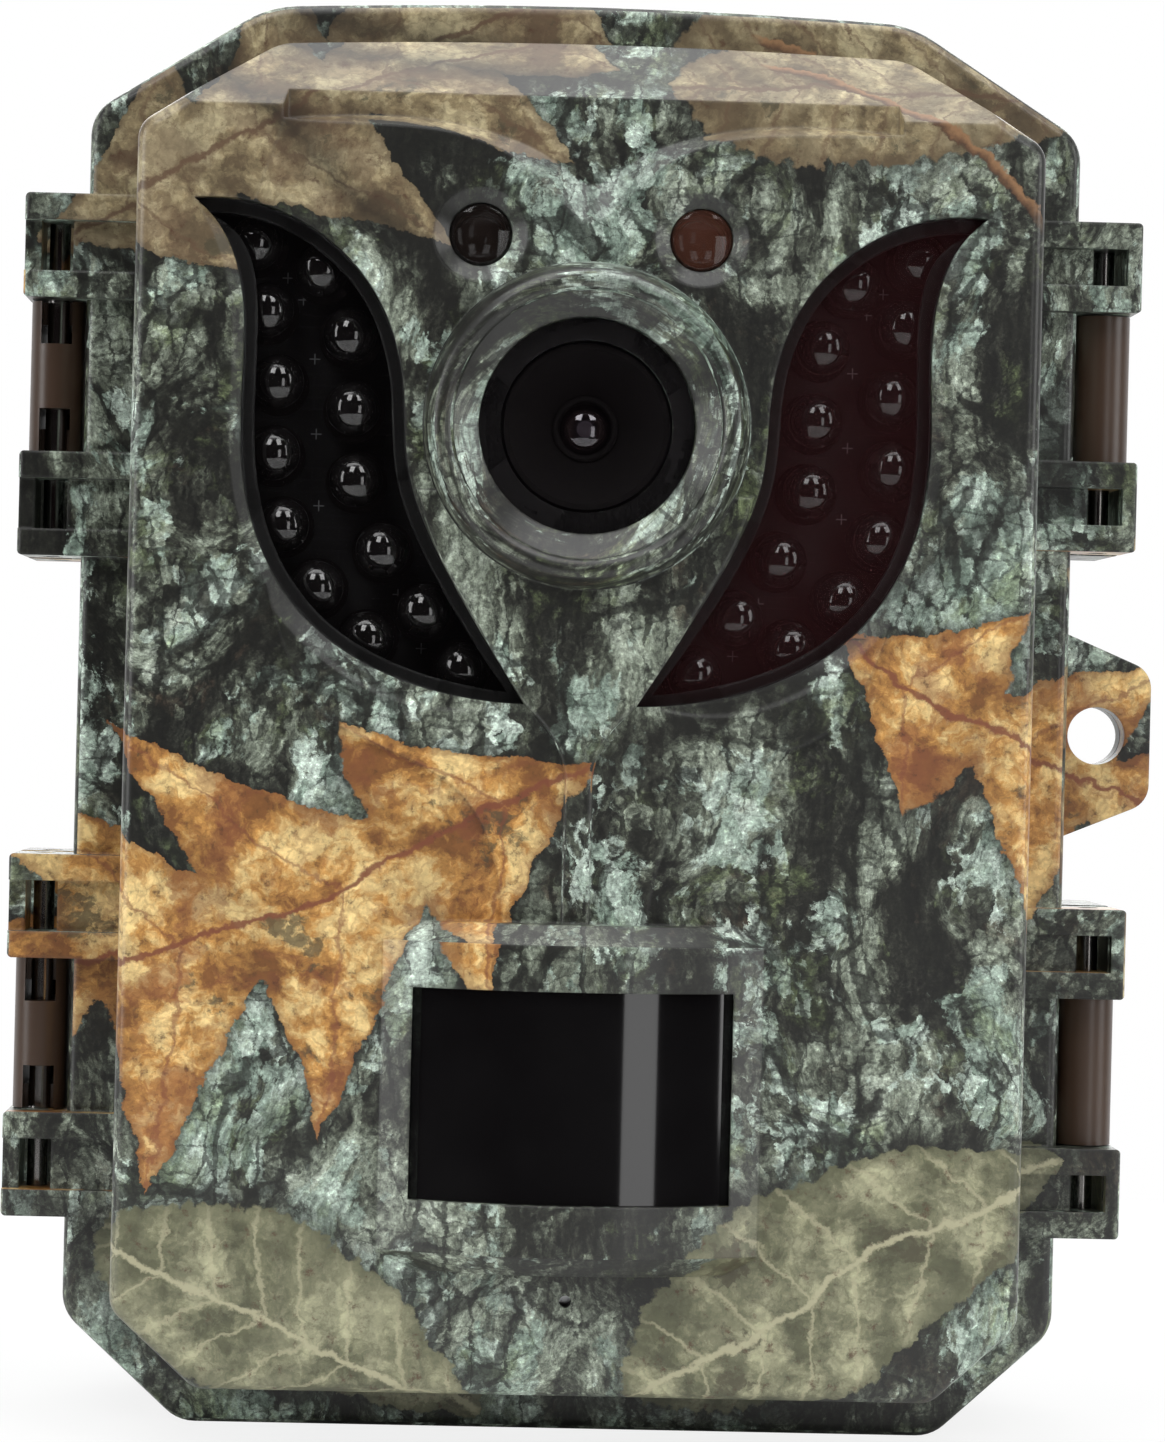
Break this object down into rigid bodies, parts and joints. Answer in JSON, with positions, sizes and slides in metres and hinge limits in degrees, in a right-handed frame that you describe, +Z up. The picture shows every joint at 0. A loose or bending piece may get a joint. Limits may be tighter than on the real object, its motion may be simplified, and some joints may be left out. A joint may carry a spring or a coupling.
{
  "type": "trail camera",
  "caption": "Weatherproof wildlife trail camera: hinged door with lens, infrared lamp windows and motion sensor, side latches, padlock tab and strap ribs.",
  "frame": {"origin": "mouth of the tripod socket in the underside", "axes": "+Z up, lens looks along -Y, +X to the right seen from the front"},
  "size_m": [0.1085, 0.0677, 0.135],
  "materials": {
    "shell_print": "moulded ABS with a printed woodland film, semi-gloss",
    "dark_acrylic": "polished infrared-pass acrylic",
    "lens_glass": "clear, polished",
    "black_ink": "screen-printed ring",
    "black_anodised": "black anodised, turned",
    "black_plastic": "moulded ABS, fine texture",
    "filter_carriage": "moulded",
    "sensor_chip": "ceramic package with cover glass",
    "board_black": "black solder mask on glass-epoxy",
    "board_green": "green solder mask on glass-epoxy",
    "lamp_clear": "clear epoxy",
    "lamp_red": "tinted epoxy",
    "smoked_window": "smoked acrylic",
    "red_window": "tinted acrylic",
    "sensor_film": "thin moulded polyethylene, polished",
    "steel": "zinc plated",
    "pin_steel": "polished, darkened",
    "filter_glass": "dark filter glass",
    "screen": "clear acrylic with dark border",
    "screen_module": "display panel in a folded frame",
    "switch_metal": "stamped",
    "button_grey": "moulded",
    "card_black": "moulded card shell",
    "brown_plastic": "moulded acetal, satin",
    "seal_rubber": "soft moulded",
    "cell_jacket": "printed sleeve on a steel can",
    "contact_nickel": "nickel plated",
    "brass": "turned, tapped"
  },
  "bodies": {
    "rear": {"rear_housing": "shell_print", "door_seal": "seal_rubber", "battery_tray": "black_plastic", "battery_tray_screws": "steel", "aa_cells": "cell_jacket", "battery_springs": "contact_nickel", "battery_contacts": "contact_nickel", "rear_hinge_pins": "pin_steel", "tripod_insert": "brass", "dc_socket": "black_plastic"},
    "links": {"hinge_link_lower": "brown_plastic", "hinge_link_upper": "brown_plastic"},
    "door": {"front_cover": "shell_print", "lens_window": "lens_glass", "lens_mask_ring": "black_ink", "lens_barrel": "black_anodised", "lens_element": "lens_glass", "ir_cut_housing": "black_plastic", "image_sensor": "sensor_chip", "ir_window_right": "dark_acrylic", "ir_window_left": "dark_acrylic", "led_board_right": "board_black", "led_board_left": "board_black", "ir_leds_right": "lamp_clear", "ir_leds_left": "lamp_clear", "front_board_screws": "steel", "sensor_board": "board_black", "light_sensor": "lamp_clear", "status_led": "lamp_red", "light_sensor_window": "smoked_window", "status_led_window": "red_window", "pir_window": "sensor_film", "pir_sensor": "steel", "pir_filter_glass": "filter_glass", "microphone": "steel", "inner_panel": "black_plastic", "inner_panel_screws": "steel", "screen_window": "screen", "lcd_module": "screen_module", "tact_switches": "switch_metal", "mode_switch_body": "black_plastic", "main_board": "board_green", "main_board_screws": "steel", "sd_socket": "switch_metal", "usb_socket": "black_plastic", "speaker": "black_plastic", "door_hinge_pins": "pin_steel", "latch_pins": "pin_steel"},
    "latch_upper": {"latch_upper": "brown_plastic"},
    "latch_lower": {"latch_lower": "brown_plastic"},
    "mode_knob": {"mode_switch_knob": "button_grey"},
    "filter_carriage": {"ir_cut_carriage": "filter_carriage"},
    "card": {"sd_card": "card_black"},
    "power_cover": {"dc_cover": "seal_rubber"},
    "button_up": {"button_up": "button_grey"},
    "button_down": {"button_down": "button_grey"},
    "button_left": {"button_left": "button_grey"},
    "button_right": {"button_right": "button_grey"},
    "button_ok": {"button_ok": "button_grey"},
    "button_menu": {"button_menu": "button_grey"}
  },
  "joints": [
    {"name": "hinge_link_swing", "type": "hinge", "parent": "rear", "child": "links", "pos_m": [-0.0498, -0.011, 0.0675], "axis": [0, 0, -1], "range_deg": [0, 90]},
    {"name": "door_swing", "type": "hinge", "parent": "links", "child": "door", "pos_m": [-0.0498, -0.021, 0.0675], "axis": [0, 0, -1], "range_deg": [0, 90]},
    {"name": "latch_upper_swing", "type": "hinge", "parent": "door", "child": "latch_upper", "pos_m": [0.0498, -0.021, 0.10005], "axis": [0, 0, -1], "range_deg": [0, 110]},
    {"name": "latch_lower_swing", "type": "hinge", "parent": "door", "child": "latch_lower", "pos_m": [0.0498, -0.021, 0.03495], "axis": [0, 0, -1], "range_deg": [0, 110]},
    {"name": "button_up_press", "type": "slide", "parent": "door", "child": "button_up", "axis": [0, -1, 0], "range_m": [0, 0.0005], "stiffness_N_per_m": 1500},
    {"name": "button_down_press", "type": "slide", "parent": "door", "child": "button_down", "axis": [0, -1, 0], "range_m": [0, 0.0005], "stiffness_N_per_m": 1500},
    {"name": "button_left_press", "type": "slide", "parent": "door", "child": "button_left", "axis": [0, -1, 0], "range_m": [0, 0.0005], "stiffness_N_per_m": 1500},
    {"name": "button_right_press", "type": "slide", "parent": "door", "child": "button_right", "axis": [0, -1, 0], "range_m": [0, 0.0005], "stiffness_N_per_m": 1500},
    {"name": "button_ok_press", "type": "slide", "parent": "door", "child": "button_ok", "axis": [0, -1, 0], "range_m": [0, 0.0005], "stiffness_N_per_m": 1500},
    {"name": "button_menu_press", "type": "slide", "parent": "door", "child": "button_menu", "axis": [0, -1, 0], "range_m": [0, 0.0005], "stiffness_N_per_m": 1500},
    {"name": "mode_switch_slide", "type": "slide", "parent": "door", "child": "mode_knob", "axis": [0, 0, 1], "range_m": [-0.003, 0.003]},
    {"name": "ir_cut_slide", "type": "slide", "parent": "door", "child": "filter_carriage", "axis": [1, 0, 0], "range_m": [0, 0.0055]},
    {"name": "sd_card_slide", "type": "slide", "parent": "door", "child": "card", "axis": [0, 0, -1], "range_m": [0, 0.01]},
    {"name": "dc_cover_swing", "type": "hinge", "parent": "rear", "child": "power_cover", "pos_m": [-0.0186, -0.002, 0.0011], "axis": [0, -1, 0], "range_deg": [0, 100]}
  ]
}
